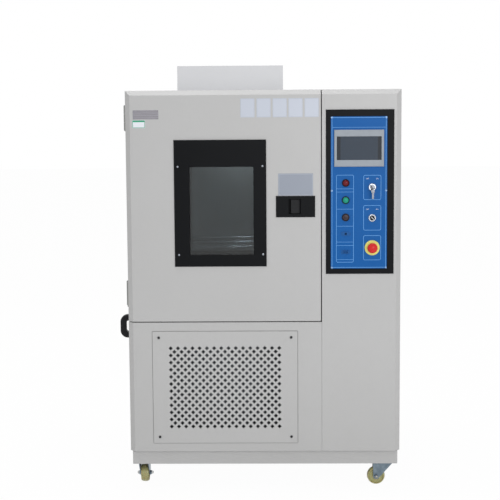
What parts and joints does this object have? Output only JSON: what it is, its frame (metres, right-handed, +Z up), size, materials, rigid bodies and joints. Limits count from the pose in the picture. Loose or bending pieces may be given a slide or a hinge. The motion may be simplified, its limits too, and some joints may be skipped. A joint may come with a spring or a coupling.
{
  "type": "environmental test chamber",
  "caption": "Floor-standing environmental test chamber on casters with a windowed door, a control column, a grille and an air duct behind a baffle.",
  "frame": {"origin": "centre of the overall box, on the floor under the casters", "axes": "+Z up, the door faces -Y, +X to the right as seen from the front"},
  "size_m": [0.995, 1.0694, 1.509],
  "materials": {
    "cabinet_paint": "satin",
    "cover_paint": "satin",
    "black_paint": "satin",
    "zinc": "satin",
    "caster_tread": "satin",
    "stainless": "satin",
    "insulation_foam": "matte",
    "black_rubber": "matte",
    "glass": "gloss",
    "blue_plate": "satin",
    "screen": "satin",
    "red_lens": "gloss",
    "green_lens": "gloss",
    "dark_plastic": "satin",
    "chrome": "polished",
    "stop_yellow": "satin",
    "stop_red": "satin",
    "silicone": "matte",
    "aluminium_fin": "satin",
    "galvanised": "satin",
    "machine_paint": "satin",
    "brass_fitting": "satin"
  },
  "bodies": {
    "cabinet": {"base_frame": "cabinet_paint", "left_side_panel": "cabinet_paint", "right_side_panel": "cabinet_paint", "rear_panel": "cabinet_paint", "top_panel": "cabinet_paint", "motor_cover": "cover_paint", "door_jamb": "cabinet_paint", "lower_front_panel": "cabinet_paint", "grille_plate": "cabinet_paint", "column_front_panel": "cabinet_paint", "control_frame": "black_paint", "control_plate": "blue_plate", "panel_screws": "zinc", "touch_screen": "screen", "red_lamp": "red_lens", "green_lamp": "green_lens", "alarm_buzzer": "dark_plastic", "switch_bezels": "chrome", "stop_collar": "stop_yellow", "data_ports": "blue_plate", "chamber_liner": "stainless", "chamber_insulation": "insulation_foam", "cable_port_sleeve": "stainless", "air_baffle": "stainless", "fan_motor": "machine_paint", "hinge_cabinet_halves": "zinc", "side_handle": "dark_plastic", "heater_coil": "stainless", "evaporator": "aluminium_fin", "humidifier_pan": "stainless", "compressor": "machine_paint", "condenser_coil": "aluminium_fin", "condenser_fan_mount": "galvanised", "electrical_panel": "galvanised", "drain_stub": "brass_fitting", "cable_gland": "dark_plastic"},
    "door": {"door_shell": "cabinet_paint", "door_liner": "stainless", "door_gasket": "black_rubber", "window_frame": "black_paint", "window_panes": "glass", "hinge_door_leaves": "zinc", "latch_housing": "black_paint"},
    "latch_paddle_body": {"latch_paddle": "dark_plastic"},
    "latch_bolt_body": {"latch_bolt": "zinc"},
    "key_body": {"key": "chrome"},
    "selector_body": {"selector_knob": "dark_plastic"},
    "stop_button_body": {"stop_button": "stop_red"},
    "shelf_body": {"shelf": "stainless"},
    "port_plug_body": {"cable_port_plug": "silicone"},
    "circulation_fan_body": {"fan_wheel": "galvanised"},
    "condenser_fan_body": {"condenser_fan": "dark_plastic"},
    "caster_front_left": {"caster_fork_front_left": "zinc"},
    "wheel_front_left": {"caster_wheel_front_left": "caster_tread"},
    "caster_front_right": {"caster_fork_front_right": "zinc"},
    "wheel_front_right": {"caster_wheel_front_right": "caster_tread"},
    "caster_rear_left": {"caster_fork_rear_left": "zinc"},
    "wheel_rear_left": {"caster_wheel_rear_left": "caster_tread"},
    "caster_rear_right": {"caster_fork_rear_right": "zinc"},
    "wheel_rear_right": {"caster_wheel_rear_right": "caster_tread"}
  },
  "joints": [
    {"name": "door_hinge", "type": "hinge", "parent": "cabinet", "child": "door", "pos_m": [-0.4575, -0.44225, 1.0055], "axis": [0, 0, -1], "range_deg": [0, 110]},
    {"name": "latch_paddle_pivot", "type": "hinge", "parent": "door", "child": "latch_paddle_body", "pos_m": [0.1445, -0.49525, 1.0055], "axis": [0, 0, 1], "range_deg": [0, 30]},
    {"name": "latch_bolt_slide", "type": "slide", "parent": "door", "child": "latch_bolt_body", "axis": [-1, 0, 0], "range_m": [0, 0.0084], "stiffness_N_per_m": 300, "springref_m": -0.003},
    {"name": "key_turn", "type": "hinge", "parent": "cabinet", "child": "key_body", "pos_m": [0.397, -0.515, 1.07095], "axis": [0, 1, 0], "range_deg": [0, 90]},
    {"name": "selector_turn", "type": "hinge", "parent": "cabinet", "child": "selector_body", "pos_m": [0.397, -0.515, 0.96495], "axis": [0, 1, 0], "range_deg": [0, 90]},
    {"name": "stop_button_press", "type": "slide", "parent": "cabinet", "child": "stop_button_body", "axis": [0, 1, 0], "range_m": [0, 0.005], "stiffness_N_per_m": 900, "springref_m": -0.004},
    {"name": "shelf_slide", "type": "slide", "parent": "cabinet", "child": "shelf_body", "axis": [0, -1, 0], "range_m": [0, 0.016]},
    {"name": "cable_port_plug_slide", "type": "slide", "parent": "cabinet", "child": "port_plug_body", "axis": [-1, 0, 0], "range_m": [0, 0.06]},
    {"name": "circulation_fan_spin", "type": "hinge", "parent": "cabinet", "child": "circulation_fan_body", "pos_m": [-0.1265, 0.04325, 1.2045], "axis": [0, 0, 1], "continuous": true},
    {"name": "condenser_fan_spin", "type": "hinge", "parent": "cabinet", "child": "condenser_fan_body", "pos_m": [-0.115, -0.345, 0.347], "axis": [0, 1, 0], "continuous": true},
    {"name": "caster_swivel_front_left", "type": "hinge", "parent": "cabinet", "child": "caster_front_left", "pos_m": [-0.4125, -0.42025, 0.08], "axis": [0, 0, 1], "continuous": true},
    {"name": "caster_swivel_front_right", "type": "hinge", "parent": "cabinet", "child": "caster_front_right", "pos_m": [0.4575, -0.42025, 0.08], "axis": [0, 0, 1], "continuous": true},
    {"name": "caster_swivel_rear_left", "type": "hinge", "parent": "cabinet", "child": "caster_rear_left", "pos_m": [-0.4125, 0.41975, 0.08], "axis": [0, 0, 1], "continuous": true},
    {"name": "caster_swivel_rear_right", "type": "hinge", "parent": "cabinet", "child": "caster_rear_right", "pos_m": [0.4575, 0.41975, 0.08], "axis": [0, 0, 1], "continuous": true},
    {"name": "wheel_roll_front_left", "type": "hinge", "parent": "caster_front_left", "child": "wheel_front_left", "pos_m": [-0.4125, -0.38325, 0.032], "axis": [-1, 0, 0], "continuous": true},
    {"name": "wheel_roll_front_right", "type": "hinge", "parent": "caster_front_right", "child": "wheel_front_right", "pos_m": [0.4205, -0.42025, 0.032], "axis": [0, -1, 0], "continuous": true},
    {"name": "wheel_roll_rear_left", "type": "hinge", "parent": "caster_rear_left", "child": "wheel_rear_left", "pos_m": [-0.394, 0.45179, 0.032], "axis": [-0.866, 0.5, 0], "continuous": true},
    {"name": "wheel_roll_rear_right", "type": "hinge", "parent": "caster_rear_right", "child": "wheel_rear_right", "pos_m": [0.43372, 0.44809, 0.032], "axis": [-0.766, -0.6428, 0], "continuous": true}
  ],
  "couplings": [
    {"joint": "latch_paddle_pivot", "follows": "latch_bolt_slide", "rad_per_m": 61.7}
  ]
}
